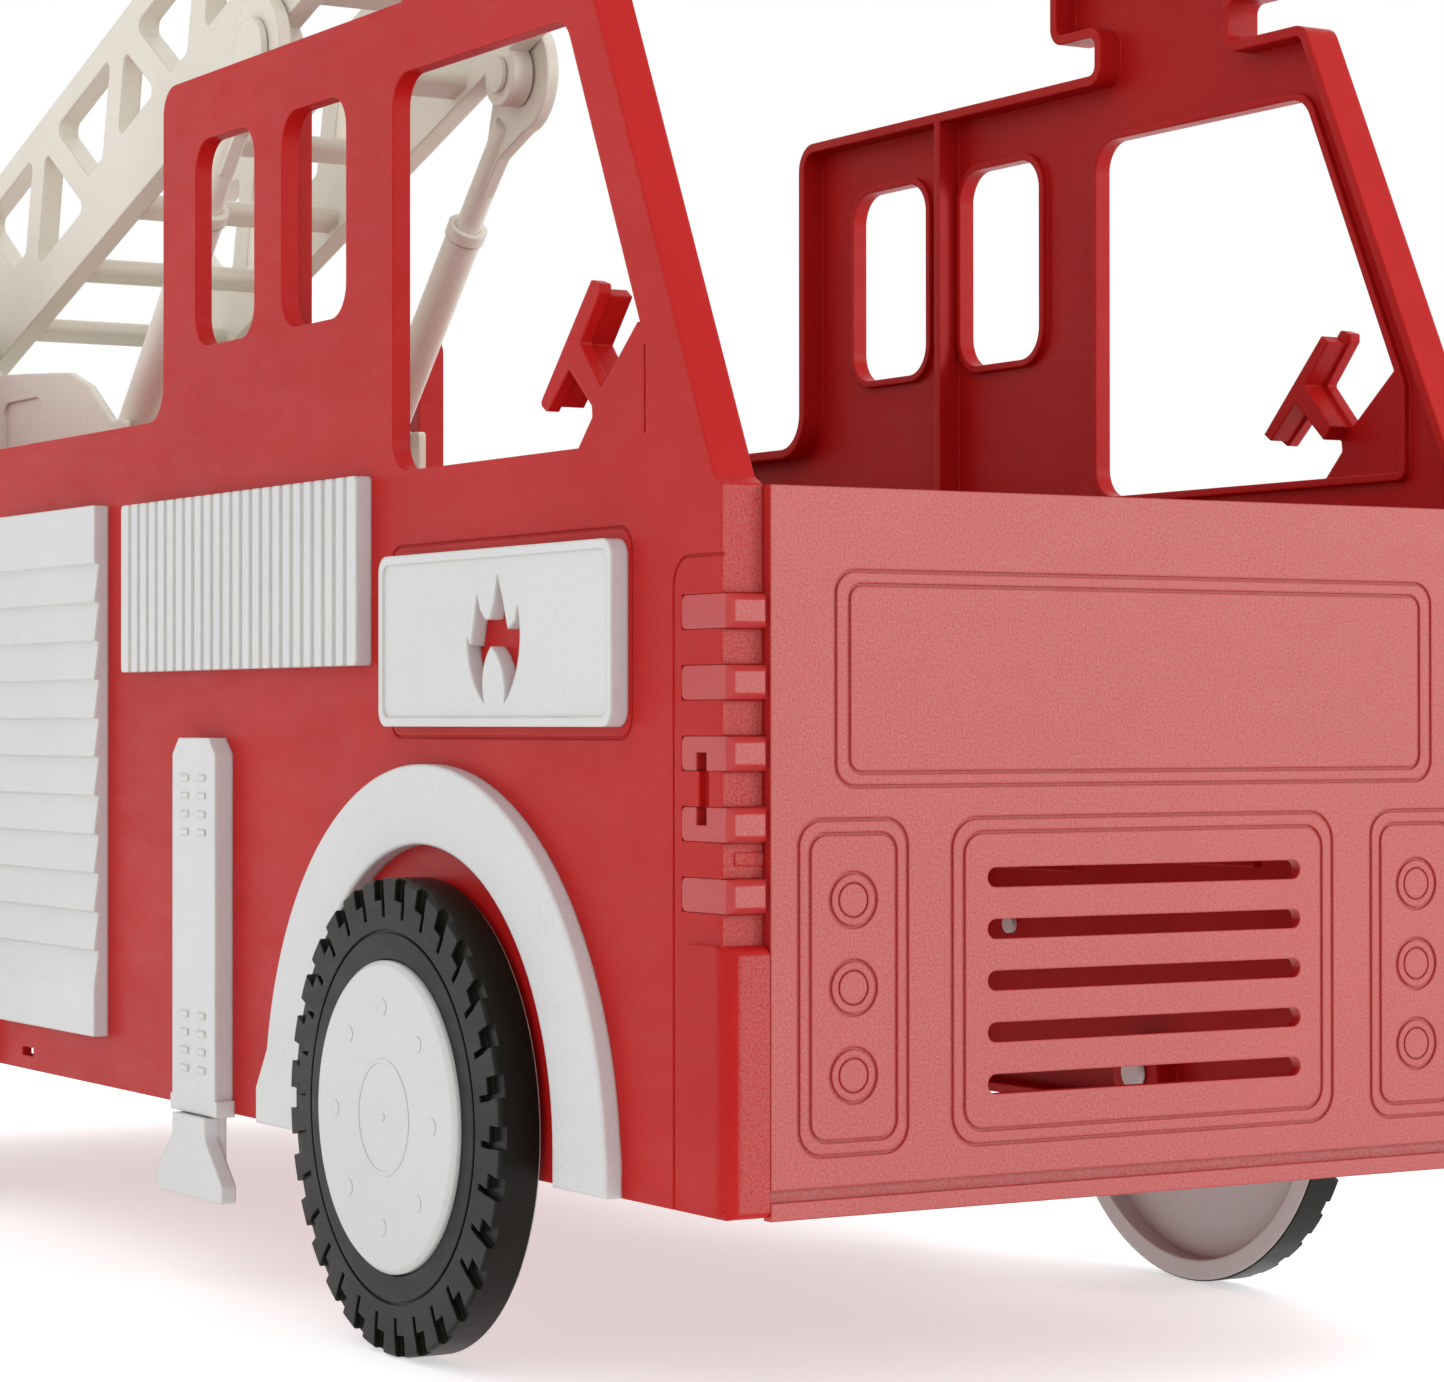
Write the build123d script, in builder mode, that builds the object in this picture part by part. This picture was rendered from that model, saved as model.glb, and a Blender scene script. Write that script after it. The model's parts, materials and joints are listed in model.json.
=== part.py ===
"""Toy fire engine: clip-together plastic body, four free wheels, a ladder on two telescopic struts.

Millimetres. +X is forward, +Y left, +Z up. The origin lies on the ground, midway between the
front and rear panels and midway between the two side panels. Side outlines are given as
(distance behind the front panel, height above the ground), and right-hand pieces are mirrored.
"""
import os
from math import cos, radians, sin

from build123d import *

os.makedirs("parts", exist_ok=True)

# --- body ---------------------------------------------------------------------------------
LENGTH = 760.0
SIDE = 125.0  # outer face of a side panel, from the middle
WALL = 3.4
SILL = 53.0  # bottom edge of the body
RAIL = 268.5  # top edge of the side panels behind the cab
ROOF = 374.0
CAB_BACK = 349.5
TAIL_FRONT = 648.5
TAIL_TOP = 335.0
BONNET = 230.0
FLANGE = 3.0
FLANGE_DEPTH = 11.4
END_HALF_WIDTH = 113.4  # half width of the front and rear panels between the flanges
PLATE = 5.0  # thickness of the white clip-on plates
LINE_WIDTH = 0.9
LINE_DEPTH = 0.6
FIT = 0.1  # radial play of pegs in their holes

# --- corner joint: fingers of the end panels wrap round the corners of the side panels ------
ROW_TOP = 203.6
ROW_PITCH = 8.6
FINGER_COUNT = 5
FINGER_LENGTH = 22.5
FINGER_GAP = 0.15
FINGER_CHAMFER = 1.6
CORNER_STEP = 3.4  # corner posts set back behind the fingers
SKIRT_TOP = 118.6
SKIRT_PROUD = 1.0
SKIRT_ROUND = 5.0

# --- wheels -------------------------------------------------------------------------------
WHEEL_RADIUS = 65.0
AXLE_FRONT = 156.5
AXLE_REAR = LENGTH - 156.5
WHEEL_INNER = SIDE + 2.0
RIM_WIDTH = 2.5
RIM_LIP = 0.4
RIM_RADIUS = 64.6
DISC_INNER = SIDE + 8.5
DISC_OUTER = SIDE + 11.0
TREAD_OUTER = SIDE + 14.1
CAP_OUTER = SIDE + 16.5
CAP_RADIUS = 42.6
TYRE_BORE = 61.1
AXLE_RADIUS = 5.0
BORE_RADIUS = 5.05
BOSS_RADIUS = 11.0
BOSS_END = 114.0
END_PLAY = 7.0  # the left wheels are drawn out by this much, the right ones pushed home
LUGS = 30

# --- ladder, hinge and struts -----------------------------------------------------------------
DECK = 260.0
DECK_THICKNESS = 3.0
DECK_FRONT = 470.0
BASE_FRONT = 539.0
BASE_BACK = 742.0
HINGE = (728.0, 324.0)
LADDER_ANGLE = 18.75
LADDER_LENGTH = 515.0
LADDER_DEPTH = 72.0
RAIL_OUTER = 49.0
RAIL_THICKNESS = 8.0
HINGE_HEIGHT = 11.0  # hinge above the bottom edge of the ladder rail
BAY = 87.0
RUNG_PITCH = 57.8
CHEEK_INNER = 59.3
CHEEK_THICKNESS = 3.0
STRUT_Y = 52.0
STRUT_ANGLE = 46.7
STRUT_FOOT = (560.2, 275.0)
STRUT_SPAN = 179.7  # lower pivot to upper pivot at rest
BARREL_LENGTH = 112.7
BARREL_RADIUS = 6.75
ROD_RADIUS = 4.75
ROD_START = 36.0
EYE_RADIUS = 20.0
EYE_HOLE = 7.2  # wider than its pin, so that the eye follows the ladder's arc
PIVOT_PIN = 4.0
LUG_RADIUS = 11.0


def at(back):
    """X of a point given by its distance behind the front panel."""
    return LENGTH / 2 - back


def side_plane(y):
    """Plane of the right-hand side at distance y from the middle, facing outwards."""
    return Plane.XZ.offset(y)


def hub_plane(back, y, height=WHEEL_RADIUS):
    """Outward-facing plane on the right-hand side, centred on a wheel or pivot."""
    return Plane(origin=(at(back), -y, height), x_dir=(1, 0, 0), z_dir=(0, -1, 0))


def front_plane(inset=0.0):
    """Forward-facing plane of the front panel, with local x to the left and local y up."""
    return Plane(origin=(LENGTH / 2 - inset, 0, 0), x_dir=(0, 1, 0), z_dir=(1, 0, 0))


def closed_path(*corners):
    """Closed outline through (behind the front, height, corner radius) rows."""
    points = [(at(back), height) for back, height, _ in corners]
    FilletPolyline(*points, radius=[radius for _, _, radius in corners], close=True)


def ring(width, height, radius):
    """Engraved rounded outline at the current location."""
    RectangleRounded(width, height, radius)
    inner = radius - LINE_WIDTH
    RectangleRounded(width - 2 * LINE_WIDTH, height - 2 * LINE_WIDTH, inner, mode=Mode.SUBTRACT)


def save(piece, name):
    """Label a finished piece and write it as its own file."""
    piece.part.label = name
    export_step(piece.part, f"parts/{name}.step")


def save_left(piece, name, outward=0.0):
    """Write the mirror image of a right-hand piece, drawn outwards by the given distance."""
    with BuildPart() as left_piece:
        mirror(piece.part, about=Plane.XZ.offset(-outward / 2))
    save(left_piece, name)


def save_pair(piece, name):
    """Write a right-hand piece and its left-hand twin."""
    save(piece, f"right_{name}")
    save_left(piece, f"left_{name}")


# Latch slot in each corner joint, its middle row shifted towards the end panel
LATCH_BACK = 13.2
LATCH_HEIGHT = 156.3
LATCH_WIDTH = 4.9
LATCH_DEPTH = 2.2
LATCH_SHIFT = 1.2
CORNER_LINE = (-20.0, 100.0, 93.8, 226.8)  # middle (behind the front, height), width, height
FINGER_ROWS = [ROW_TOP - ROW_PITCH * (2 * row + 0.5) for row in range(FINGER_COUNT)]

# Clip-on plates: middle (behind the front, height), width, height, and their peg holes
EMBLEM = (115.7, 194.95, 133.0, 47.3)
VENT = (284.75, 215.45, 175.5, 53.7)
SHUTTER = (443.0, 156.6, 94.0, 174.2)
SLEEVE = (311.0, 109.85, 36.0, 115.7)
PEG_RADIUS = 3.0
ARCH_PEG_RADIUS = 88.0
PEGS = [
    (back + sign * (width / 2 - 14), height)
    for back, height, width, _ in (EMBLEM, VENT)
    for sign in (-1, 1)
]
SHUTTER_PEGS = [(SHUTTER[0], SHUTTER[1] + dz) for dz in (-65, 65)]
SLEEVE_PEG = (SLEEVE[0], 160.0)
ARCH_PEGS = [
    (axle + ARCH_PEG_RADIUS * cos(radians(angle)), 63 + ARCH_PEG_RADIUS * sin(radians(angle)))
    for axle in (AXLE_FRONT, AXLE_REAR)
    for angle in (30, 90, 150)
]

# --- side panels ------------------------------------------------------------------------------
PANEL_OUTLINE = (
    (0, SILL, 2), (0, SKIRT_TOP, 3), (CORNER_STEP, SKIRT_TOP, 0), (CORNER_STEP, BONNET, 1), (7, 232, 1), (75, ROOF, 6), (110, ROOF, 3), (110, 386, 3),
    (86.5, 386, 6), (86.5, 412, 6), (199.5, 412, 6), (199.5, 386, 6), (176, 386, 3), (176, ROOF, 3),
    (CAB_BACK, ROOF, 9), (CAB_BACK, RAIL, 12), (TAIL_FRONT, RAIL, 12), (TAIL_FRONT, TAIL_TOP, 9),
    (LENGTH - CORNER_STEP, TAIL_TOP, 9), (LENGTH - CORNER_STEP, SKIRT_TOP, 0), (LENGTH, SKIRT_TOP, 3),
    (LENGTH, SILL, 2),
)
BIG_WINDOW = (
    (183.5, 242.7, 9), (183.5, 354.1, 9), (82, 354.1, 9), (52.1, 291, 12), (40.7, 267, 6), (40.7, 242.7, 1),
)
SMALL_WINDOWS = ((301.25, 321.6, 44.9, 64.4), (236.35, 321.6, 44.7, 64.4))
STEERING = (
    (68.1, 285.3, 1.2), (63.9, 283.9, 0.8), (63.9, 281.6, 0.8), (74.4, 269.7, 1), (62.9, 257.1, 0.8),
    (44.4, 272.4, 0), (38, 267, 0), (38, 240, 0), (74.9, 240, 0), (74.9, 242.9, 0), (67.7, 250.2, 1),
    (68.0, 253.1, 1), (80.2, 263.5, 1), (92.0, 253.1, 1), (95.8, 255.5, 1.2),
)
STEERING_CORE = (
    (68.3, 283.2, 0), (65.4, 281.2, 0), (75.8, 269.6, 0), (64.2, 257.0, 0), (67.5, 253.4, 0), (80.2, 265.0, 0),
    (91.2, 254.6, 0), (94.2, 256.6, 0),
)
CORE_DEPTH = 10.5

with BuildPart() as right_side_panel:
    with BuildSketch(side_plane(SIDE)):
        with BuildLine():
            closed_path(*PANEL_OUTLINE)
        make_face()
    extrude(amount=-WALL)
    with BuildSketch(side_plane(SIDE)):
        with BuildLine():
            closed_path(*PANEL_OUTLINE)
        make_face()
        offset(amount=-FLANGE, kind=Kind.INTERSECTION, mode=Mode.SUBTRACT)
    extrude(amount=-FLANGE_DEPTH)
    # raised rims round the windows, then the openings themselves
    with BuildSketch(side_plane(SIDE)):
        with BuildLine():
            closed_path(*BIG_WINDOW)
        make_face()
        offset(amount=2.2, kind=Kind.INTERSECTION)
        for back, height, width, tall in SMALL_WINDOWS:
            with Locations((at(back), height)):
                RectangleRounded(width + 4.4, tall + 4.4, 12)
    extrude(amount=-5.5)
    with BuildSketch(side_plane(SIDE)):
        with BuildLine():
            closed_path(*BIG_WINDOW)
        make_face()
        for back, height, width, tall in SMALL_WINDOWS:
            with Locations((at(back), height)):
                RectangleRounded(width, tall, 10)
    extrude(amount=-3 * WALL, mode=Mode.SUBTRACT)
    # steering wheel, column and dashboard as one silhouette, with a slimmer core further in
    for corners, depth in ((STEERING, WALL), (STEERING_CORE, CORE_DEPTH)):
        with BuildSketch(side_plane(SIDE)):
            with BuildLine():
                closed_path(*corners)
            make_face()
        extrude(amount=-depth)
    # inner stiffening rib, floor ledge and deck ledge
    with BuildSketch(side_plane(SIDE - WALL)):
        with Locations((at(263.5), (SILL + ROOF) / 2)):
            Rectangle(3, ROOF - SILL - 1)
        with Locations((0, 139.5)):
            Rectangle(LENGTH - 6, 3)
        with Locations((at((DECK_FRONT + LENGTH) / 2), DECK - 1.5)):
            Rectangle(LENGTH - DECK_FRONT - 2 * CORNER_STEP, 3)
    extrude(amount=-(FLANGE_DEPTH - WALL))
    # bearing bosses for the stub axles
    for axle in (AXLE_FRONT, AXLE_REAR):
        with BuildSketch(hub_plane(axle, SIDE - WALL)):
            Circle(BOSS_RADIUS)
        extrude(amount=-(SIDE - WALL - BOSS_END))
        with BuildSketch(hub_plane(axle, SIDE)):
            Circle(BORE_RADIUS)
        extrude(amount=-(SIDE - BOSS_END), mode=Mode.SUBTRACT)
    # skirt blocks at the foot of each corner, just proud of the side and rounded at the corner
    with BuildSketch(side_plane(SIDE)):
        for back in (10.9, LENGTH - 10.9):
            with Locations((at(back), SKIRT_TOP - 32.3)):
                RectangleRounded(20.6, 64.6, 5)
    extrude(amount=SKIRT_PROUD)
    with BuildSketch(Plane.XY.offset(SILL - 1)):
        for end in (-1, 1):
            with Locations((end * LENGTH / 2, -SIDE - SKIRT_PROUD)):
                Rectangle(2 * SKIRT_ROUND, 2 * SKIRT_ROUND)
            with Locations((end * (LENGTH / 2 - SKIRT_ROUND), SKIRT_ROUND - SIDE - SKIRT_PROUD)):
                Circle(SKIRT_ROUND, mode=Mode.SUBTRACT)
    extrude(amount=SKIRT_TOP - SILL + 1, mode=Mode.SUBTRACT)
    # notches for the fingers of the end panels
    for back in (FINGER_LENGTH / 2, LENGTH - FINGER_LENGTH / 2):
        with BuildSketch(side_plane(SIDE)):
            with Locations(*[(at(back), row) for row in FINGER_ROWS]):
                Rectangle(FINGER_LENGTH + 2 * FINGER_GAP, ROW_PITCH)
        extrude(amount=-(FLANGE_DEPTH + 1), mode=Mode.SUBTRACT)
    # latch slots in the corners, and a slot in the sill
    with BuildSketch(side_plane(SIDE)):
        for end in (-1, 1):
            with Locations((end * at(LATCH_BACK - LATCH_SHIFT), LATCH_HEIGHT)):
                Rectangle(LATCH_WIDTH, ROW_PITCH)
    extrude(amount=-LATCH_DEPTH, mode=Mode.SUBTRACT)
    with BuildSketch(side_plane(SIDE)):
        with Locations((at(469.7), 59.1)):
            Rectangle(10.6, 3.0)
    extrude(amount=-WALL, mode=Mode.SUBTRACT)
    # engraved lines: round the emblem, behind the corner and below the big window
    with BuildSketch(side_plane(SIDE)):
        with Locations((at(EMBLEM[0]), EMBLEM[1])):
            ring(137.8, 53.8, 6)
        for end in (-1, 1):
            with Locations((end * at(CORNER_LINE[0]), CORNER_LINE[1])):
                ring(CORNER_LINE[2], CORNER_LINE[3], 7.7)
        with Locations((at(40.7), 255.5)):
            Rectangle(LINE_WIDTH, 22)
    extrude(amount=-LINE_DEPTH, mode=Mode.SUBTRACT)
    # holes for the pegs of the clip-on plates
    with BuildSketch(side_plane(SIDE)):
        with Locations(*[(at(b), h) for b, h in PEGS + SHUTTER_PEGS + ARCH_PEGS + [SLEEVE_PEG]]):
            Circle(PEG_RADIUS + FIT)
    extrude(amount=-WALL, mode=Mode.SUBTRACT)

save_pair(right_side_panel, "side_panel")


# --- end panels -------------------------------------------------------------------------------
with BuildPart() as finger:  # one finger of the corner joint, at the right-hand front corner
    with BuildSketch(Plane.XY.offset(-ROW_PITCH / 2 + FINGER_GAP)):
        with BuildLine():
            Polyline(
                (LENGTH / 2, -END_HALF_WIDTH), (LENGTH / 2, -SIDE), (LENGTH / 2 - FINGER_LENGTH, -SIDE),
                (LENGTH / 2 - FINGER_LENGTH, -SIDE + WALL), (LENGTH / 2 - WALL, -SIDE + WALL),
                (LENGTH / 2 - WALL, -END_HALF_WIDTH),
                close=True,
            )
        make_face()
    extrude(amount=ROW_PITCH - 2 * FINGER_GAP)
    fillet(finger.edges().filter_by(Axis.Y).group_by(Axis.X)[0], 1.8)
    chamfer(finger.faces().sort_by(Axis.X)[-1].edges(), FINGER_CHAMFER)

with BuildPart() as panel_blank:  # plate, fingers and bottom lip common to both end panels
    with BuildSketch(front_plane()):
        with Locations((0, (52.1 + 229.8) / 2)):
            Rectangle(2 * END_HALF_WIDTH, 229.8 - 52.1)
    extrude(amount=-WALL)
    with Locations(*[(0, 0, row) for row in FINGER_ROWS]):
        add(finger.part)
        add(mirror(finger.part, about=Plane.XZ, mode=Mode.PRIVATE))
    with BuildSketch(side_plane(SIDE)):
        with Locations((at(LATCH_BACK), LATCH_HEIGHT)):
            Rectangle(LATCH_WIDTH, 2 * ROW_PITCH + 0.5)
    extrude(amount=-2 * SIDE, mode=Mode.SUBTRACT)
    with BuildSketch(front_plane()):
        with Locations((0, 58.0)):
            Rectangle(2 * END_HALF_WIDTH, 3.1)
    extrude(amount=-1.6, mode=Mode.SUBTRACT)
    with BuildSketch(front_plane(WALL)):  # ledge that carries the floor panel
        with Locations((0, 139.5)):
            Rectangle(2 * END_HALF_WIDTH - 8, 3)
    extrude(amount=-8)

LAMP_Y = 89.75
LAMP_HEIGHTS = (129.1, 107.7, 86.3)
SLOT_HEIGHTS = (133.7, 120.8, 107.9, 95.0, 82.1)

with BuildPart() as front_panel:
    add(panel_blank.part)
    with BuildSketch(front_plane()):
        with Locations((0, 183.1)):
            ring(190.6, 53.6, 6)
            ring(182.6, 46.9, 4)
        with Locations((0, 108.0)):
            ring(122.2, 82.2, 8)
            ring(115.0, 75.0, 6)
        for y in (-LAMP_Y, LAMP_Y):
            with Locations((y, 107.9)):
                ring(32.5, 82.6, 7)
                ring(25.9, 75.6, 5)
            with Locations(*[(y, height) for height in LAMP_HEIGHTS]):
                Circle(7.1)
                Circle(7.1 - LINE_WIDTH, mode=Mode.SUBTRACT)
                Circle(4.4)
                Circle(4.4 - LINE_WIDTH / 2, mode=Mode.SUBTRACT)
    extrude(amount=-LINE_DEPTH, mode=Mode.SUBTRACT)
    with BuildSketch(front_plane()):
        with Locations(*[(0, height) for height in SLOT_HEIGHTS]):
            SlotOverall(99.8, 5.0)
    extrude(amount=-WALL, mode=Mode.SUBTRACT)
save(front_panel, "front_panel")

with BuildPart() as rear_panel:
    mirror(panel_blank.part, about=Plane.YZ)
    with BuildSketch(Plane(origin=(-LENGTH / 2, 0, 0), x_dir=(0, -1, 0), z_dir=(-1, 0, 0))):
        with Locations((0, 160.0)):
            ring(150.0, 110.0, 8)
            ring(142.0, 102.0, 6)
        for y in (-LAMP_Y - 4, LAMP_Y + 4):
            with Locations((y, 107.9)):
                ring(25.9, 75.6, 5)
    extrude(amount=-LINE_DEPTH, mode=Mode.SUBTRACT)
save(rear_panel, "rear_panel")


# --- floor and deck ---------------------------------------------------------------------------
with BuildPart() as floor_panel:
    with BuildSketch(Plane.XY.offset(141.0)):
        Rectangle(LENGTH - 2 * WALL - 0.8, 2 * (SIDE - WALL) - 0.6)
        with Locations(*[(at(263.5), sign * (SIDE - 4)) for sign in (-1, 1)]):
            Rectangle(3.6, 2 * (FLANGE_DEPTH - 3.6), mode=Mode.SUBTRACT)
        with Locations(*[(x * (LENGTH / 2 - 4), y * (SIDE - 6)) for x in (-1, 1) for y in (-1, 1)]):
            Rectangle(9, 12, mode=Mode.SUBTRACT)
    extrude(amount=3)
    with BuildSketch(Plane.XY.offset(141.0)):  # long ribs under the sheet
        with Locations((0, -60), (0, 0), (0, 60)):
            Rectangle(LENGTH - 60, 2.5)
    extrude(amount=-8)
save(floor_panel, "floor_panel")

with BuildPart() as rear_deck:
    with BuildSketch(Plane.XY.offset(DECK)):
        with Locations((at((DECK_FRONT + LENGTH) / 2), 0)):
            Rectangle(LENGTH - DECK_FRONT - 4 * CORNER_STEP, 2 * (SIDE - WALL) - 0.6)
    extrude(amount=DECK_THICKNESS)
save(rear_deck, "rear_deck")


# --- clip-on plates ---------------------------------------------------------------------------
# Flame emblem, measured from the middle of its plate
FLAME_FEET = ((-3.5, -17.5), (7.5, -17.5))
FLAME_TIPS = ((-13.8, 0.6), (-7.8, 11.9), (3.8, 16.8), (15.2, 8.4))
FLAME_NOTCHES = ((-11.6, -2.1), (-2.8, 4.7), (9.8, 2.0))
FLAME_HEART = (0.2, -2.4)


def flame_outline():
    """Closed outline of the flame: bowed flanks, three notches, and a white heart at the foot."""
    ThreePointArc(FLAME_FEET[0], (-11.2, -9.6), FLAME_TIPS[0])
    Polyline(FLAME_TIPS[0], FLAME_NOTCHES[0], (-10.2, 3.2), FLAME_TIPS[1], (-6.1, 7.5), FLAME_NOTCHES[1])
    Polyline(FLAME_NOTCHES[1], (-0.6, 5.0), (1.7, 9.2), FLAME_TIPS[2], (6.8, 10.2), FLAME_NOTCHES[2])
    Polyline(FLAME_NOTCHES[2], (13.6, 4.2), FLAME_TIPS[3])
    ThreePointArc(FLAME_TIPS[3], (15.3, -7.0), FLAME_FEET[1])
    ThreePointArc(FLAME_FEET[1], (6.6, -9.0), FLAME_HEART)
    ThreePointArc(FLAME_HEART, (-4.2, -8.5), FLAME_FEET[0])


with BuildPart() as right_emblem_plate:
    with BuildSketch(side_plane(SIDE)):
        with Locations((at(EMBLEM[0]), EMBLEM[1])):
            RectangleRounded(EMBLEM[2], EMBLEM[3], 4.5)
    extrude(amount=PLATE)
    with BuildSketch(side_plane(SIDE + PLATE)):  # field sunk inside a raised border
        with Locations((at(EMBLEM[0]), EMBLEM[1])):
            RectangleRounded(EMBLEM[2] - 5, EMBLEM[3] - 5, 3.0)
    extrude(amount=-0.7, mode=Mode.SUBTRACT)
    with BuildSketch(hub_plane(EMBLEM[0], SIDE, EMBLEM[1])):
        with BuildLine():
            flame_outline()
        make_face()
    extrude(amount=PLATE, mode=Mode.SUBTRACT)
    with BuildSketch(side_plane(SIDE)):
        with Locations(*[(at(b), h) for b, h in PEGS[0:2]]):
            Circle(PEG_RADIUS)
    extrude(amount=-(WALL + 1.6))
save_pair(right_emblem_plate, "emblem_plate")

VENT_RIBS = 24
with BuildPart() as right_vent_plate:
    with BuildSketch(side_plane(SIDE)):
        with Locations((at(VENT[0]), VENT[1])):
            RectangleRounded(VENT[2], VENT[3], 1.5)
    extrude(amount=PLATE)
    with BuildSketch(side_plane(SIDE + PLATE)):
        with Locations((at(VENT[0]), VENT[1])):
            with GridLocations(VENT[2] / VENT_RIBS, 0, VENT_RIBS - 1, 1):
                Rectangle(2.4, VENT[3])
    extrude(amount=-1.1, mode=Mode.SUBTRACT)
    with BuildSketch(side_plane(SIDE)):
        with Locations(*[(at(b), h) for b, h in PEGS[2:4]]):
            Circle(PEG_RADIUS)
    extrude(amount=-(WALL + 1.6))
save_pair(right_vent_plate, "vent_plate")

SLAT_TOP = 224.9
SLAT_PITCH = 12.7
SLATS = 11
SLAT_STEP = 1.6
with BuildPart() as right_shutter:
    saw = [(-SIDE, SHUTTER[1] - SHUTTER[3] / 2), (-SIDE, SHUTTER[1] + SHUTTER[3] / 2)]
    saw += [(-SIDE - PLATE, SHUTTER[1] + SHUTTER[3] / 2)]
    for slat in range(SLATS):
        height = SLAT_TOP - slat * SLAT_PITCH
        saw += [(-SIDE - PLATE, height), (-SIDE - PLATE + SLAT_STEP, height - 0.6)]
    saw += [(-SIDE - PLATE, SLAT_TOP - SLATS * SLAT_PITCH), (-SIDE - PLATE, SHUTTER[1] - SHUTTER[3] / 2)]
    with BuildSketch(Plane(origin=(at(SHUTTER[0] + SHUTTER[2] / 2), 0, 0), x_dir=(0, 1, 0), z_dir=(1, 0, 0))):
        with BuildLine():
            Polyline(*saw, close=True)
        make_face()
    extrude(amount=SHUTTER[2])
    with BuildSketch(side_plane(SIDE)):
        with Locations(*[(at(b), h) for b, h in SHUTTER_PEGS]):
            Circle(PEG_RADIUS)
    extrude(amount=-(WALL + 1.6))
save_pair(right_shutter, "shutter")


# --- wheel arches -----------------------------------------------------------------------------
def save_arches(axle, name):
    """Write the right and left arch plates over the wheels of one axle."""
    with BuildPart() as arch:
        with BuildSketch(side_plane(SIDE)):
            with BuildLine():
                Line((at(axle) - 110, SILL), (at(axle) - 110, 63.8))
                Line((at(axle) - 110, 63.8), (at(axle) - 102, 76))
                ThreePointArc((at(axle) - 102, 76), (at(axle), 161), (at(axle) + 102, 76))
                Line((at(axle) + 102, 76), (at(axle) + 104, 62))
                Line((at(axle) + 104, 62), (at(axle) + 104, SILL))
                Line((at(axle) + 104, SILL), (at(axle) + 76, SILL))
                Line((at(axle) + 76, SILL), (at(axle) + 76, 63))
                ThreePointArc((at(axle) + 76, 63), (at(axle), 139), (at(axle) - 76, 63))
                Line((at(axle) - 76, 63), (at(axle) - 76, SILL))
                Line((at(axle) - 76, SILL), (at(axle) - 110, SILL))
            make_face()
        extrude(amount=PLATE)
        chamfer(arch.faces().sort_by(Axis.Y)[0].edges(), 0.6)
        with BuildSketch(side_plane(SIDE)):
            with Locations(*[(at(b), h) for b, h in ARCH_PEGS if abs(b - axle) < WHEEL_RADIUS * 2]):
                Circle(PEG_RADIUS)
        extrude(amount=-(WALL + 1.6))
    save_pair(arch, name)


save_arches(AXLE_FRONT, "front_wheel_arch")
save_arches(AXLE_REAR, "rear_wheel_arch")

# --- wheels -----------------------------------------------------------------------------------
with BuildPart() as right_front_hub:
    with BuildSketch(Plane.XY.offset(WHEEL_RADIUS)):
        with BuildLine():
            Polyline(
                *[
                    (at(AXLE_FRONT) + radius, -y)
                    for radius, y in (
                        (0, 105), (4.4, 105), (5.8, 106.3), (AXLE_RADIUS, 106.6), (AXLE_RADIUS, SIDE + 0.6),
                        (10, SIDE + 0.6), (10, DISC_INNER), (58.5, DISC_INNER), (58.5, WHEEL_INNER),
                        (RIM_RADIUS, WHEEL_INNER), (RIM_RADIUS, WHEEL_INNER + RIM_LIP),
                        (61, WHEEL_INNER + RIM_WIDTH),
                        (61, DISC_OUTER), (CAP_RADIUS, DISC_OUTER), (CAP_RADIUS, CAP_OUTER - 1.6),
                        (CAP_RADIUS - 1.2, CAP_OUTER - 0.4), (0, CAP_OUTER - 0.4),
                    )
                ],
                close=True,
            )
        make_face()
    revolve(axis=Axis((at(AXLE_FRONT), 0, WHEEL_RADIUS), (0, 1, 0)))
    with BuildSketch(hub_plane(AXLE_FRONT, CAP_OUTER - 0.4)):  # faint ring, bumps and pip on the cap
        Circle(16.0)
        Circle(14.8, mode=Mode.SUBTRACT)
        Circle(1.1)
        with PolarLocations(30, 8):
            Circle(2.2)
    extrude(amount=0.15)

with BuildPart() as right_front_tyre:
    with BuildSketch(Plane.XY.offset(WHEEL_RADIUS)):
        with BuildLine():
            FilletPolyline(
                *[
                    (at(AXLE_FRONT) + radius, -y)
                    for radius, y in (
                        (TYRE_BORE, WHEEL_INNER + RIM_WIDTH + FIT),
                        (RIM_RADIUS + FIT, WHEEL_INNER + RIM_LIP + FIT), (WHEEL_RADIUS, WHEEL_INNER + RIM_LIP + FIT),
                        (WHEEL_RADIUS, TREAD_OUTER), (CAP_RADIUS + FIT, TREAD_OUTER),
                        (CAP_RADIUS + FIT, DISC_OUTER), (TYRE_BORE, DISC_OUTER),
                    )
                ],
                radius=[0, 0, 0, 1.0, 0.6, 0, 0], close=True,
            )
        make_face()
    revolve(axis=Axis((at(AXLE_FRONT), 0, WHEEL_RADIUS), (0, 1, 0)))
    with BuildSketch(hub_plane(AXLE_FRONT, TREAD_OUTER)):
        with PolarLocations(62.8, LUGS):
            Rectangle(7.6, 6.0)
        with PolarLocations(57.2, LUGS, start_angle=-2.2):
            Rectangle(5.6, 1.8)
    extrude(amount=-2.0, mode=Mode.SUBTRACT)
    with BuildSketch(hub_plane(AXLE_FRONT, TREAD_OUTER)):
        Circle(51.0)
        Circle(50.0, mode=Mode.SUBTRACT)
    extrude(amount=-0.8, mode=Mode.SUBTRACT)

for wheel_piece, name in ((right_front_hub, "hub"), (right_front_tyre, "tyre")):
    with BuildPart() as rear_piece:
        add(wheel_piece.part.moved(Location((AXLE_FRONT - AXLE_REAR, 0, 0))))
    for piece, row in ((wheel_piece, "front"), (rear_piece, "rear")):
        save(piece, f"right_{row}_{name}")
        save_left(piece, f"left_{row}_{name}", outward=END_PLAY)

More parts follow.
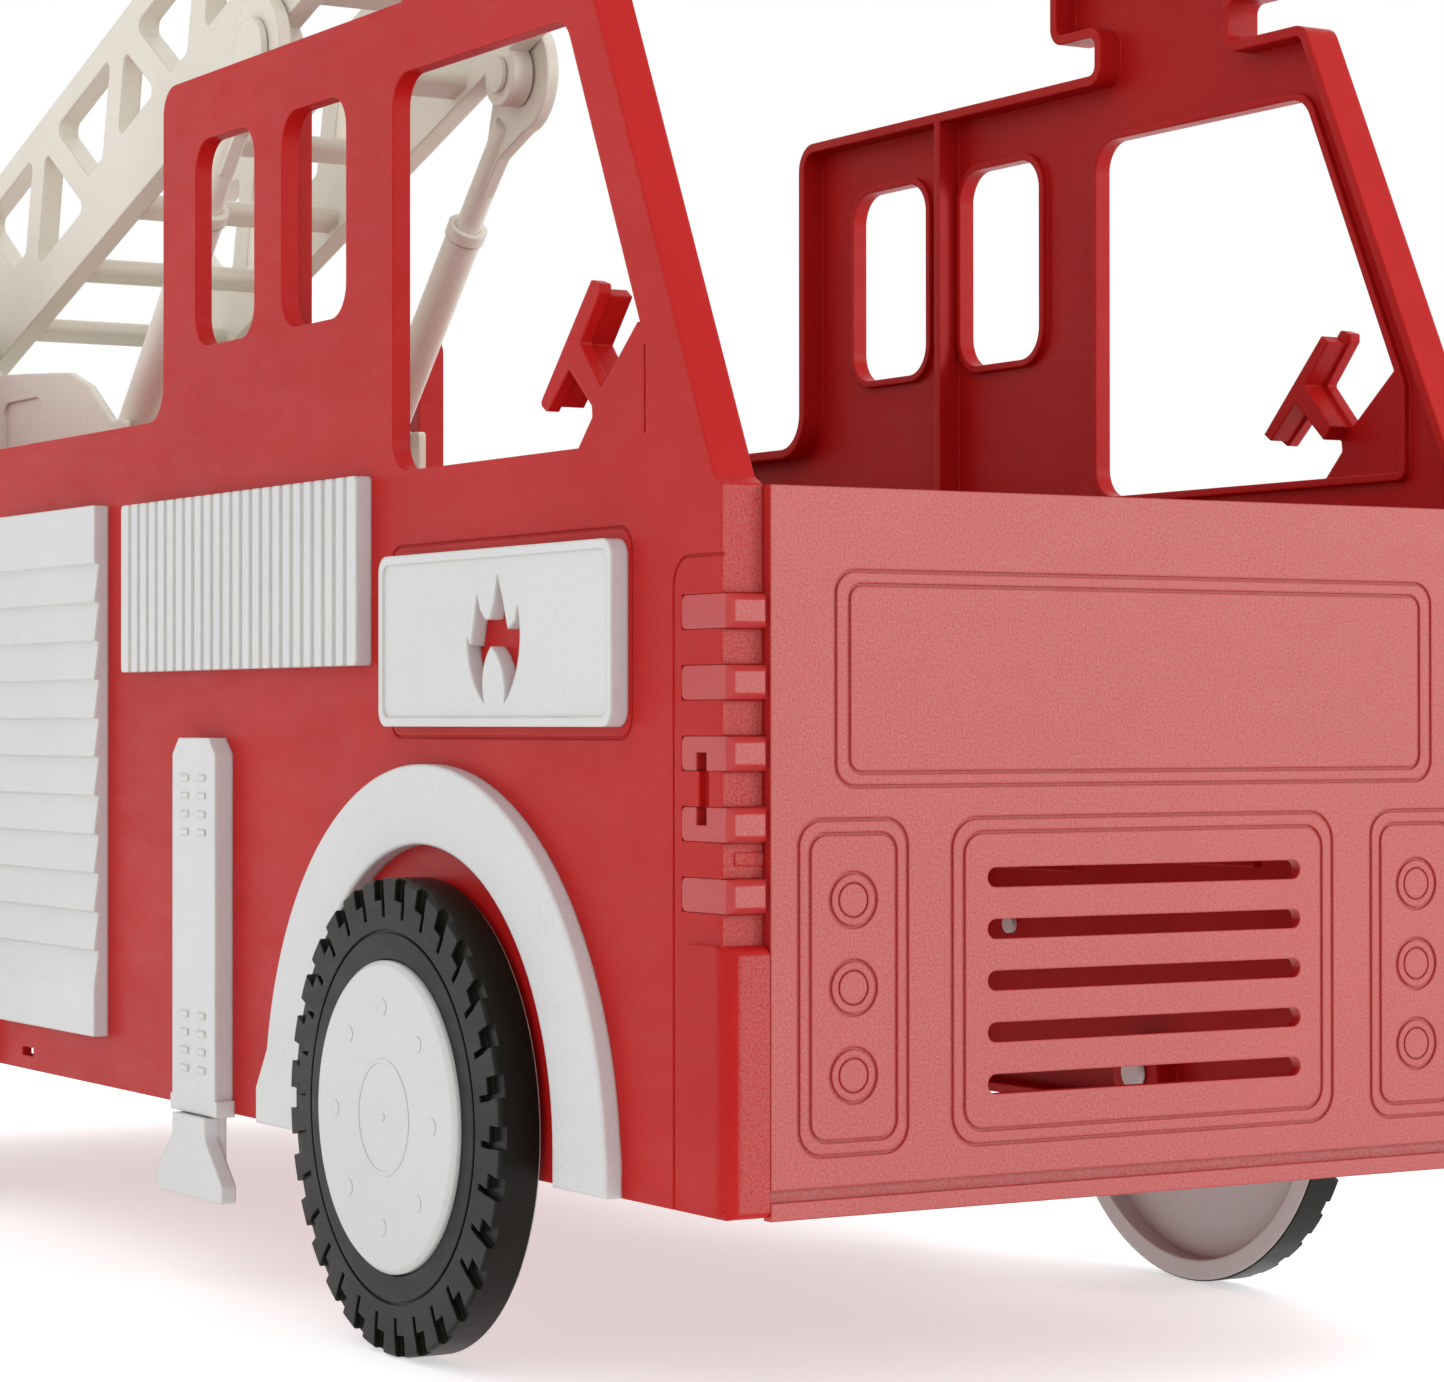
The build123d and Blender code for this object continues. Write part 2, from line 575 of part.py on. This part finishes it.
# --- stabilisers ------------------------------------------------------------------------------
SLEEVE_DEPTH = 6.0
SHANK_WIDTH = 25.0
SHANK_THICKNESS = 3.0
with BuildPart() as right_stabiliser_sleeve:
    with BuildSketch(side_plane(SIDE)):
        with Locations((at(SLEEVE[0]), SLEEVE[1])):
            Rectangle(SLEEVE[2] - 3, SLEEVE[3])
        with Locations((at(SLEEVE[0]), 54.5)):
            Rectangle(SLEEVE[2], 5)
    extrude(amount=SLEEVE_DEPTH)
    chamfer(right_stabiliser_sleeve.edges().filter_by(Axis.Y).group_by(Axis.Z)[-1], 5)
    with BuildSketch(side_plane(SIDE)):
        with Locations((at(SLEEVE[0]), 97.0)):
            Rectangle(SHANK_WIDTH + 0.7, 94.0)
    extrude(amount=SHANK_THICKNESS + 0.7, mode=Mode.SUBTRACT)
    with BuildSketch(side_plane(SIDE + SLEEVE_DEPTH)):  # embossed bars near the top and bottom
        for middle in (74.0, 147.0):
            with Locations((at(SLEEVE[0]), middle)):
                with GridLocations(13.0, 5.6, 2, 4):
                    Rectangle(6.0, 1.8)
    extrude(amount=0.5)
    with BuildSketch(side_plane(SIDE)):
        with Locations((at(SLEEVE_PEG[0]), SLEEVE_PEG[1])):
            Circle(PEG_RADIUS)
    extrude(amount=-(WALL + 1.6))
save_pair(right_stabiliser_sleeve, "stabiliser_sleeve")

FOOT_BOTTOM = 26.5
FOOT_INNER = SIDE + 3.0
FOOT_THICKNESS = 4.6
with BuildPart() as right_stabiliser_foot:
    with BuildSketch(side_plane(SIDE + 0.35)):
        with Locations((at(SLEEVE[0]), (30 + 138) / 2)):
            Rectangle(SHANK_WIDTH, 108)
    extrude(amount=SHANK_THICKNESS)
    with BuildSketch(side_plane(FOOT_INNER)):
        with BuildLine():
            closed_path(
                (SLEEVE[0] - 12.6, 51.5, 0), (SLEEVE[0] + 12.6, 51.5, 0), (SLEEVE[0] + 12.6, 45, 4),
                (SLEEVE[0] + 25.8, 32, 2), (SLEEVE[0] + 25.8, FOOT_BOTTOM, 1.5),
                (SLEEVE[0] - 25.8, FOOT_BOTTOM, 1.5), (SLEEVE[0] - 25.8, 32, 2), (SLEEVE[0] - 12.6, 45, 4),
            )
        make_face()
    extrude(amount=FOOT_THICKNESS)
save_pair(right_stabiliser_foot, "stabiliser_foot")

# --- ladder base ------------------------------------------------------------------------------
CHEEK_OUTLINE = (
    (BASE_FRONT, DECK + DECK_THICKNESS, 0), (BASE_FRONT, 284.6, 2), (551, 284.6, 10), (574, 299.5, 10),
    (594, 306, 12), (638, 309, 12), (672, 311, 10), (716, 337, 12), (740.5, 337, 12),
    (BASE_BACK, DECK + DECK_THICKNESS, 0),
)
with BuildPart() as ladder_base:
    with BuildSketch(side_plane(CHEEK_INNER)):
        with BuildLine():
            closed_path(*CHEEK_OUTLINE)
        make_face()
    extrude(amount=CHEEK_THICKNESS)
    with BuildSketch(side_plane(CHEEK_INNER + CHEEK_THICKNESS)):  # shallow recess in the cheek
        with Locations((at(643), 288)):
            RectangleRounded(42, 22, 6)
    extrude(amount=-1.0, mode=Mode.SUBTRACT)
    for (back, height), radius in ((HINGE, PIVOT_PIN), (STRUT_FOOT, 3.0)):
        with BuildSketch(hub_plane(back, CHEEK_INNER + CHEEK_THICKNESS, height)):
            Circle(radius + FIT)
        extrude(amount=-CHEEK_THICKNESS, mode=Mode.SUBTRACT)
    mirror(ladder_base.part, about=Plane.XZ)
    with BuildSketch(Plane.XY.offset(DECK + DECK_THICKNESS)):
        with Locations((at((BASE_FRONT + BASE_BACK) / 2), 0)):
            Rectangle(BASE_BACK - BASE_FRONT, 2 * CHEEK_INNER)
    extrude(amount=3)
    with BuildSketch(Plane.XY.offset(DECK + DECK_THICKNESS + 3)):  # cross webs between the cheeks
        with Locations((at(600), 0), (at(700), 0)):
            Rectangle(3, 2 * CHEEK_INNER)
    extrude(amount=14)
save(ladder_base, "ladder_base")


# --- ladder -----------------------------------------------------------------------------------
def tilted_plane(pivot, angle, y):
    """Outward-facing plane with its origin on a pivot and local x along a member at that angle."""
    direction = (cos(radians(angle)), 0, sin(radians(angle)))
    return Plane(origin=(at(pivot[0]), -y, pivot[1]), x_dir=direction, z_dir=(0, -1, 0))


def above(height):
    """Local y of a point given by its height above the bottom edge of the ladder rail."""
    return height - HINGE_HEIGHT


LUG = (301.9, above(-5.1))
CHORD_TOP = 62.0
WEB_FLOOR = 29.0
BAYS = 5
RUNGS = 9

with BuildPart() as ladder:
    with BuildSketch(tilted_plane(HINGE, LADDER_ANGLE, RAIL_OUTER)):
        with BuildLine():
            FilletPolyline(
                (-12, above(0)), (LADDER_LENGTH, above(0)), (LADDER_LENGTH, above(LADDER_DEPTH)),
                (24, above(LADDER_DEPTH)), (-12, above(24)),
                radius=[10, 6, 12, 10, 10], close=True,
            )
        make_face()
        with Locations(LUG):
            Circle(LUG_RADIUS)
        # truss windows: one with its base up, then one with its base down, in every bay
        for bay in range(BAYS):
            start = 20 + bay * BAY
            with BuildLine():
                FilletPolyline(
                    (start, above(CHORD_TOP)), (start + 62, above(CHORD_TOP)), (start + 42, above(WEB_FLOOR)),
                    (start + 26, above(WEB_FLOOR)), radius=3.5, close=True,
                )
            make_face(mode=Mode.SUBTRACT)
            floor = 18.5 if bay == 0 else WEB_FLOOR
            lean = (floor - 18.5) * 0.58
            with BuildLine():
                FilletPolyline(
                    (start + 52 + lean, above(floor)), (start + 75, above(58)), (start + 107 - 1.4 * lean, above(floor)),
                    radius=3.5, close=True,
                )
            make_face(mode=Mode.SUBTRACT)
        with BuildLine():
            FilletPolyline(
                (455, above(CHORD_TOP)), (503, above(CHORD_TOP)), (503, above(WEB_FLOOR)), (481, above(WEB_FLOOR)),
                radius=3.5, close=True,
            )
        make_face(mode=Mode.SUBTRACT)
    extrude(amount=-RAIL_THICKNESS)
    for (along, up), radius, length in (
        ((0, 0), 9.0, CHEEK_INNER - RAIL_OUTER - 0.4), (LUG, 9.0, 0.5),
    ):
        with BuildSketch(tilted_plane(HINGE, LADDER_ANGLE, RAIL_OUTER)):
            with Locations((along, up)):
                Circle(radius)
        extrude(amount=length)
    for (along, up), radius in (((0, 0), PIVOT_PIN + 0.08), (LUG, PIVOT_PIN + FIT)):
        with BuildSketch(tilted_plane(HINGE, LADDER_ANGLE, CHEEK_INNER)):
            with Locations((along, up)):
                Circle(radius)
        extrude(amount=-(CHEEK_INNER - RAIL_OUTER + RAIL_THICKNESS), mode=Mode.SUBTRACT)
    mirror(ladder.part, about=Plane.XZ)
    with BuildSketch(tilted_plane(HINGE, LADDER_ANGLE, RAIL_OUTER - RAIL_THICKNESS)):  # rungs
        for rung in range(RUNGS):
            with Locations((40.5 + rung * RUNG_PITCH, above(5.6))):
                RectangleRounded(14, 6, 2.9)
        with Locations((LADDER_LENGTH - 6, above(66))):  # tie bar across the tip
            RectangleRounded(8, 8, 3.5)
    extrude(amount=-2 * (RAIL_OUTER - RAIL_THICKNESS))
save(ladder, "ladder")

with BuildPart() as right_ladder_hinge_pin:  # fixed in the cheek, the ladder rail turns on it
    with BuildSketch(hub_plane(HINGE[0], CHEEK_INNER + CHEEK_THICKNESS + 0.3, HINGE[1])):
        Circle(PIVOT_PIN)
    extrude(amount=-(CHEEK_INNER + CHEEK_THICKNESS - RAIL_OUTER + RAIL_THICKNESS))
    with BuildSketch(hub_plane(HINGE[0], CHEEK_INNER + CHEEK_THICKNESS + 0.3, HINGE[1])):
        Circle(7.0)
    extrude(amount=2.0)
save_pair(right_ladder_hinge_pin, "ladder_hinge_pin")

# --- telescopic struts ------------------------------------------------------------------------
BARREL_FOOT = 9.0  # radius of the rounded foot of the barrel
BARREL_BORE = ROD_RADIUS + 0.08


def strut_section(along):
    """Plane across the right-hand strut at a distance along it from its lower pivot."""
    direction = (cos(radians(STRUT_ANGLE)), 0, sin(radians(STRUT_ANGLE)))
    foot = Vector(at(STRUT_FOOT[0]), -STRUT_Y, STRUT_FOOT[1])
    return Plane(origin=foot + Vector(*direction) * along, x_dir=(0, 1, 0), z_dir=direction)


with BuildPart() as right_strut_barrel:
    with BuildSketch(strut_section(0)):
        Circle(BARREL_RADIUS)
    extrude(amount=BARREL_LENGTH)
    with BuildSketch(strut_section(BARREL_LENGTH - 5)):
        Circle(BARREL_RADIUS + 0.8)
    extrude(amount=5)
    with BuildSketch(hub_plane(STRUT_FOOT[0], STRUT_Y + BARREL_RADIUS, STRUT_FOOT[1])):
        Circle(BARREL_FOOT)
    extrude(amount=-2 * BARREL_RADIUS)
    with BuildSketch(strut_section(ROD_START - 14)):
        Circle(BARREL_BORE)
    extrude(amount=BARREL_LENGTH, mode=Mode.SUBTRACT)
    with BuildSketch(hub_plane(STRUT_FOOT[0], STRUT_Y + BARREL_RADIUS, STRUT_FOOT[1])):
        Circle(3.08)
    extrude(amount=-2 * BARREL_RADIUS, mode=Mode.SUBTRACT)
save_pair(right_strut_barrel, "strut_barrel")

EYE_INNER = RAIL_OUTER + 0.9
EYE_THICKNESS = 4.6
with BuildPart() as right_strut_rod:
    with BuildSketch(strut_section(ROD_START)):
        Circle(ROD_RADIUS)
    extrude(amount=STRUT_SPAN - 21 - ROD_START)
    with BuildSketch(tilted_plane(STRUT_FOOT, STRUT_ANGLE, EYE_INNER)):
        with Locations((STRUT_SPAN, 0)):
            Circle(EYE_RADIUS)
        with BuildLine():
            Polyline(
                (STRUT_SPAN - 50, -ROD_RADIUS), (STRUT_SPAN - 32, -ROD_RADIUS - 1), (STRUT_SPAN - 12, -15.5),
                (STRUT_SPAN - 12, 15.5), (STRUT_SPAN - 32, ROD_RADIUS + 1), (STRUT_SPAN - 50, ROD_RADIUS),
                close=True,
            )
        make_face()
        with Locations((STRUT_SPAN, 0)):
            Circle(EYE_HOLE, mode=Mode.SUBTRACT)
    extrude(amount=EYE_THICKNESS)
save_pair(right_strut_rod, "strut_rod")

with BuildPart() as right_strut_upper_pin:  # fixed in the ladder rail, its head covers the eye
    upper = Vector(at(STRUT_FOOT[0]) + STRUT_SPAN * cos(radians(STRUT_ANGLE)), 0,
                   STRUT_FOOT[1] + STRUT_SPAN * sin(radians(STRUT_ANGLE)))
    outer = EYE_INNER + EYE_THICKNESS + 0.4
    with BuildSketch(Plane.XZ.offset(outer)):
        with Locations((upper.X, upper.Z)):
            Circle(PIVOT_PIN)
    extrude(amount=-(outer - RAIL_OUTER + RAIL_THICKNESS + 0.3))
    with BuildSketch(Plane.XZ.offset(outer)):
        with Locations((upper.X, upper.Z)):
            Circle(11.5)
    extrude(amount=2.4)
    with BuildSketch(Plane.XZ.offset(RAIL_OUTER - RAIL_THICKNESS - 0.3)):
        with Locations((upper.X, upper.Z)):
            Circle(6.5)
    extrude(amount=-1.6)
save_pair(right_strut_upper_pin, "strut_upper_pin")

with BuildPart() as right_strut_lower_pin:  # fixed in the cheek of the ladder base
    inner = STRUT_Y - BARREL_RADIUS - 0.4
    outer = CHEEK_INNER + CHEEK_THICKNESS + 0.3
    with BuildSketch(hub_plane(STRUT_FOOT[0], outer, STRUT_FOOT[1])):
        Circle(3.0)
    extrude(amount=-(outer - inner))
    with BuildSketch(hub_plane(STRUT_FOOT[0], outer, STRUT_FOOT[1])):
        Circle(5.5)
    extrude(amount=1.6)
    with BuildSketch(hub_plane(STRUT_FOOT[0], inner, STRUT_FOOT[1])):
        Circle(5.0)
    extrude(amount=-1.6)
save_pair(right_strut_lower_pin, "strut_lower_pin")
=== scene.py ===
"""Toy fire engine: plastic finishes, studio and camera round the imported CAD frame. Metres."""
import json
from math import radians

import bpy
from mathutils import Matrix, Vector

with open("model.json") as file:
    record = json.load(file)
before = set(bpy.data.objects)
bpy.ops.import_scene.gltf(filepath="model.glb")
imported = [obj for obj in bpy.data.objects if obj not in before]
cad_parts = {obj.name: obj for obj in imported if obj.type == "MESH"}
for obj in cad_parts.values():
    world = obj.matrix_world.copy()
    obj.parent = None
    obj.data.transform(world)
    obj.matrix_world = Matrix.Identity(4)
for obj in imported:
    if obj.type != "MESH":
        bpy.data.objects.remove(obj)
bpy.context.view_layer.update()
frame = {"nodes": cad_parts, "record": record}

# --- camera and studio ------------------------------------------------------------------------
CAMERA_PLACE = (1.1615, -0.5948, 0.1726)
CAMERA_TURN = (radians(90.461), radians(0.036), radians(59.10))
CAMERA_LENS = 95.0
FLOOR_RADIUS = 9.0
FLOOR_DROP = 0.0004  # floor just below the tyres
FLOOR_GLOW = 0.55
WORLD_STRENGTH = 1.0
SOFTBOXES = {  # place, target, size in metres, power in watts
    "key": ((1.3, -2.0, 2.2), (0.1, 0.0, 0.2), 1.6, 3),
    "front_sheen": ((2.1, 1.5, 1.0), (0.38, 0.0, 0.2), 0.9, 17),
    "rear_fill": ((-2.2, 1.8, 1.8), (-0.1, 0.0, 0.2), 1.8, 10),
}


def add_camera():
    """Camera at the viewing angle of the reference, with the whole picture as its frame."""
    lens = bpy.data.cameras.new("view")
    lens.lens = CAMERA_LENS
    lens.sensor_fit = "HORIZONTAL"
    lens.sensor_width = 36.0
    lens.clip_start = 0.01
    camera = bpy.data.objects.new("view", lens)
    camera.location = CAMERA_PLACE
    camera.rotation_euler = CAMERA_TURN
    bpy.context.scene.collection.objects.link(camera)
    bpy.context.scene.camera = camera


def add_light(name, place, target, size, power):
    """Square softbox at a place, aimed at a target."""
    lamp = bpy.data.lights.new(name, "AREA")
    lamp.size = size
    lamp.energy = power
    light = bpy.data.objects.new(name, lamp)
    light.location = place
    aim = Vector(target) - Vector(place)
    light.rotation_euler = aim.to_track_quat("-Z", "Y").to_euler()
    bpy.context.scene.collection.objects.link(light)


def add_world():
    """Even white surroundings."""
    world = bpy.data.worlds.new("surroundings")
    world.use_nodes = True
    background = world.node_tree.nodes["Background"]
    background.inputs["Color"].default_value = (1.0, 1.0, 1.0, 1.0)
    background.inputs["Strength"].default_value = WORLD_STRENGTH
    bpy.context.scene.world = world
    bpy.context.scene.view_settings.view_transform = "Standard"


# --- material building blocks -----------------------------------------------------------------
BEVEL_SAMPLES = 6
EDGE_TURN = (0.985, 0.80)  # cosine of the turn at which the painted edge highlight begins and is full


class Nodes:
    """Thin helper that adds nodes to one material and links them by socket name."""

    def __init__(self, name):
        self.material = bpy.data.materials.new(name)
        self.material.use_nodes = True
        self.tree = self.material.node_tree
        self.shader = self.tree.nodes["Principled BSDF"]
        spots = self.add("ShaderNodeTexCoord")
        self.place = spots.outputs["Object"]
        self.facing = spots.outputs["Normal"]

    def add(self, kind, **inputs):
        """New node of a kind, with its inputs set or linked by name."""
        node = self.tree.nodes.new(kind)
        for key, value in inputs.items():
            self.feed(node.inputs[key], value)
        return node

    def feed(self, socket, value):
        """Link a node's output to a socket, or set the socket's value."""
        if isinstance(value, bpy.types.NodeSocket):
            self.tree.links.new(value, socket)
        else:
            socket.default_value = value

    def noise(self, scale, detail=3.0, roughness=0.5, stretch=None):
        """Noise value between 0 and 1, with features about 1/scale metres across."""
        place = self.place
        if stretch:
            mapping = self.add("ShaderNodeMapping", Vector=self.place)
            mapping.inputs["Scale"].default_value = stretch
            place = mapping.outputs["Vector"]
        node = self.add("ShaderNodeTexNoise", Vector=place, Scale=scale, Detail=detail)
        node.inputs["Roughness"].default_value = roughness
        return node.outputs["Fac"]

    def spread(self, value, low, high, to_low=0.0, to_high=1.0):
        """Map a value from one range onto another, clamped."""
        node = self.add("ShaderNodeMapRange", Value=value)
        ends = {"From Min": low, "From Max": high, "To Min": to_low, "To Max": to_high}
        for key, number in ends.items():
            node.inputs[key].default_value = number
        return node.outputs["Result"]

    def blend(self, factor, first, second):
        """Mix two colours by a factor."""
        node = self.tree.nodes.new("ShaderNodeMix")
        node.data_type = "RGBA"
        self.feed(node.inputs["Factor"], factor)
        self.feed(node.inputs["A"], first)
        self.feed(node.inputs["B"], second)
        return node.outputs["Result"]

    def maths(self, kind, first, second=0.0):
        """Combine two values."""
        node = self.tree.nodes.new("ShaderNodeMath")
        node.operation = kind
        self.feed(node.inputs[0], first)
        self.feed(node.inputs[1], second)
        return node.outputs[0]

    def rounded_normal(self, radius):
        """Surface normal with every sharp edge rounded to a moulding radius."""
        node = self.tree.nodes.new("ShaderNodeBevel")
        node.samples = BEVEL_SAMPLES
        node.inputs["Radius"].default_value = radius
        return node.outputs["Normal"]

    def edges(self, radius):
        """Mask that is 1 on the edges of the part, where a lighter colour is painted as an edge
        highlight, and 0 on its faces.
        """
        flat = self.add("ShaderNodeNewGeometry").outputs["True Normal"]
        dot = self.tree.nodes.new("ShaderNodeVectorMath")
        dot.operation = "DOT_PRODUCT"
        self.tree.links.new(flat, dot.inputs[0])
        self.tree.links.new(self.rounded_normal(radius), dot.inputs[1])
        return self.spread(dot.outputs["Value"], *EDGE_TURN)

    def bump(self, height, normal, distance, strength=1.0):
        """Normal bent by a height."""
        node = self.add("ShaderNodeBump", Height=height, Normal=normal)
        node.inputs["Distance"].default_value = distance
        node.inputs["Strength"].default_value = strength
        return node.outputs["Normal"]


CLOUD_SCALE = 14.0  # broad mottling of the colour
SPECK_REACH = 0.35
SPECK_SHADE = 0.8
SCUFF_SCALE = 35.0
SCUFF_STRETCH = (1.0, 1.0, 3.5)
SCUFF_SWING = (-0.07, 0.09)  # how far scuffs take the roughness
# patch size of the painted edge highlight
EDGE_HIGHLIGHT_PATCH_SCALE = 60.0
WAVE_SCALE = 55.0  # gentle unevenness of moulded faces
WAVE_HEIGHT = 0.0006
WAVE_STRENGTH = 0.35
GRAIN_SCALE = 1500.0  # coarse grain of the end faces
GRAIN_HEIGHT = 0.00022
GRAIN_STARTS = (0.3710, 0.3725)  # distance from the middle beyond which end faces are grained
END_FACING = (0.93, 0.99)
COAT_ROUGHNESS = 0.45


def rgba(red, green, blue):
    """Opaque colour."""
    return (red, green, blue, 1.0)


def end_grain(nodes, body, height, sparkle):
    """Add the coarse spark-eroded grain to the faces that look straight forward or back, with the
    grain tips painted in a lighter colour as a painted sheen.
    """
    split = nodes.add("ShaderNodeSeparateXYZ", Vector=nodes.facing)
    spot = nodes.add("ShaderNodeSeparateXYZ", Vector=nodes.place)
    front = nodes.spread(nodes.maths("ABSOLUTE", split.outputs["X"]), *END_FACING)
    outer = nodes.spread(nodes.maths("ABSOLUTE", spot.outputs["X"]), *GRAIN_STARTS)
    front = nodes.maths("MULTIPLY", front, outer)
    pits = nodes.noise(GRAIN_SCALE, 2.0, 0.6)
    # painted sheen: the grain tips of the end faces are painted lighter, where the grain catches the
    # light
    tips = nodes.maths("MULTIPLY", front, nodes.spread(pits, 0.30, 0.75, 0.15, 0.9))
    body = nodes.blend(tips, body, rgba(*sparkle))
    coarse = nodes.maths("MULTIPLY", nodes.maths("MULTIPLY", pits, front), GRAIN_HEIGHT)
    return body, nodes.maths("ADD", height, coarse)


def plastic(name, colour, mottle, edge, roughness, grain, depth, **finish):
    """Moulded plastic: mottled colour, painted edge highlights, uneven gloss, grain and rounded
    corners.

    grain is the size of a grain in metres and depth its height. finish may give an edge_radius,
    a gloss, a coat, and a lighter colour painted on the tips of the coarse grain of the end faces as a
    painted sheen.
    """
    edge_radius = finish.get("edge_radius", 0.0009)
    nodes = Nodes(name)
    shader = nodes.shader
    cloud = nodes.spread(nodes.noise(CLOUD_SCALE, 4.0, 0.6), 0.35, 0.68)
    body = nodes.blend(cloud, rgba(*colour), rgba(*mottle))
    speck = nodes.spread(nodes.noise(0.8 / grain, 2.0), 0.56, 0.74, 0.0, SPECK_REACH)
    body = nodes.blend(speck, body, rgba(*[channel * SPECK_SHADE for channel in colour]))
    height = nodes.maths("MULTIPLY", nodes.noise(1.0 / grain, 2.0, 0.6), depth)
    scuff = nodes.noise(SCUFF_SCALE, 6.0, 0.7, SCUFF_STRETCH)
    scuff = nodes.spread(scuff, 0.3, 0.75, *[roughness + swing for swing in SCUFF_SWING])
    if "sparkle" in finish:
        body, height = end_grain(nodes, body, height, finish["sparkle"])
    # painted edge highlight: the rounded edges are painted in patches with the lighter edge colour,
    # standing in for light catching and glowing through them
    patchy = nodes.spread(nodes.noise(EDGE_HIGHLIGHT_PATCH_SCALE), 0.25, 0.6, 0.35, 1.0)
    painted_edge_highlight = nodes.maths("MULTIPLY", nodes.edges(edge_radius), patchy)
    nodes.feed(shader.inputs["Base Color"], nodes.blend(painted_edge_highlight, body, rgba(*edge)))
    nodes.feed(shader.inputs["Roughness"], scuff)
    grained = nodes.bump(height, nodes.rounded_normal(edge_radius), 1.0)
    wavy = nodes.bump(nodes.noise(WAVE_SCALE, 3.0), grained, WAVE_HEIGHT, WAVE_STRENGTH)
    nodes.feed(shader.inputs["Normal"], wavy)
    shader.inputs["Specular IOR Level"].default_value = finish.get("gloss", 0.3)
    shader.inputs["Coat Weight"].default_value = finish.get("coat", 0.0)
    shader.inputs["Coat Roughness"].default_value = COAT_ROUGHNESS
    return nodes.material


# each finish gives its colour, its mottle and a lighter edge colour, which is a painted edge highlight
MATERIALS = {
    "body_red": plastic(
        "moulded_red", (0.385, 0.006, 0.006), (0.43, 0.010, 0.009), (0.60, 0.009, 0.006),
        roughness=0.42, grain=0.0009, depth=0.00003, gloss=0.14, sparkle=(0.40, 0.12, 0.11),
    ),
    "grained_red": plastic(
        "grained_red", (0.385, 0.006, 0.006), (0.43, 0.010, 0.009), (0.50, 0.009, 0.006),
        roughness=0.44, grain=0.0009, depth=0.00003, gloss=0.45, coat=0.45, sparkle=(0.40, 0.12, 0.11),
    ),
    "trim_white": plastic(
        "trim_white", (0.60, 0.60, 0.60), (0.57, 0.57, 0.575), (0.70, 0.67, 0.58),
        roughness=0.36, grain=0.0012, depth=0.00002, edge_radius=0.0012,
    ),
    "ladder_white": plastic(
        "ladder_white", (0.72, 0.68, 0.59), (0.66, 0.62, 0.54), (0.80, 0.75, 0.65),
        roughness=0.38, grain=0.0012, depth=0.00003, edge_radius=0.0014,
    ),
    "hub_white": plastic(
        "hub_white", (0.58, 0.58, 0.565), (0.55, 0.55, 0.535), (0.64, 0.61, 0.53),
        roughness=0.32, grain=0.0012, depth=0.00002, edge_radius=0.0012,
    ),
    "tyre_black": plastic(
        "tyre_black", (0.006, 0.0055, 0.0035), (0.010, 0.009, 0.006), (0.022, 0.020, 0.014),
        roughness=0.38, grain=0.0010, depth=0.00004, edge_radius=0.0006, gloss=0.16,
    ),
}


def finish_nodes():
    """Give every CAD node the detailed material of its slot."""
    slots = {row["node"]: row["material_slot"] for row in frame["record"]["subparts"]}
    for name, piece in frame["nodes"].items():
        material = MATERIALS[slots[name]]
        if piece.material_slots:
            for slot in piece.material_slots:
                slot.material = material
        else:
            piece.data.materials.append(material)


def add_floor():
    """Plain pale floor."""
    nodes = Nodes("pale_floor")
    shader = nodes.shader
    cloud = nodes.spread(nodes.noise(1.5), 0.3, 0.7)
    pale = nodes.blend(cloud, rgba(0.68, 0.68, 0.68), rgba(0.70, 0.70, 0.70))
    nodes.feed(shader.inputs["Base Color"], pale)
    shader.inputs["Roughness"].default_value = 0.7
    shader.inputs["Emission Color"].default_value = rgba(1.0, 1.0, 1.0)
    shader.inputs["Emission Strength"].default_value = FLOOR_GLOW
    bpy.ops.mesh.primitive_circle_add(
        vertices=64, radius=FLOOR_RADIUS, fill_type="NGON", location=(0, 0, -FLOOR_DROP)
    )
    floor = bpy.context.object
    floor.name = "floor"
    floor.data.materials.append(nodes.material)


add_camera()
add_world()
for title, softbox in SOFTBOXES.items():
    add_light(title, *softbox)
add_floor()
finish_nodes()
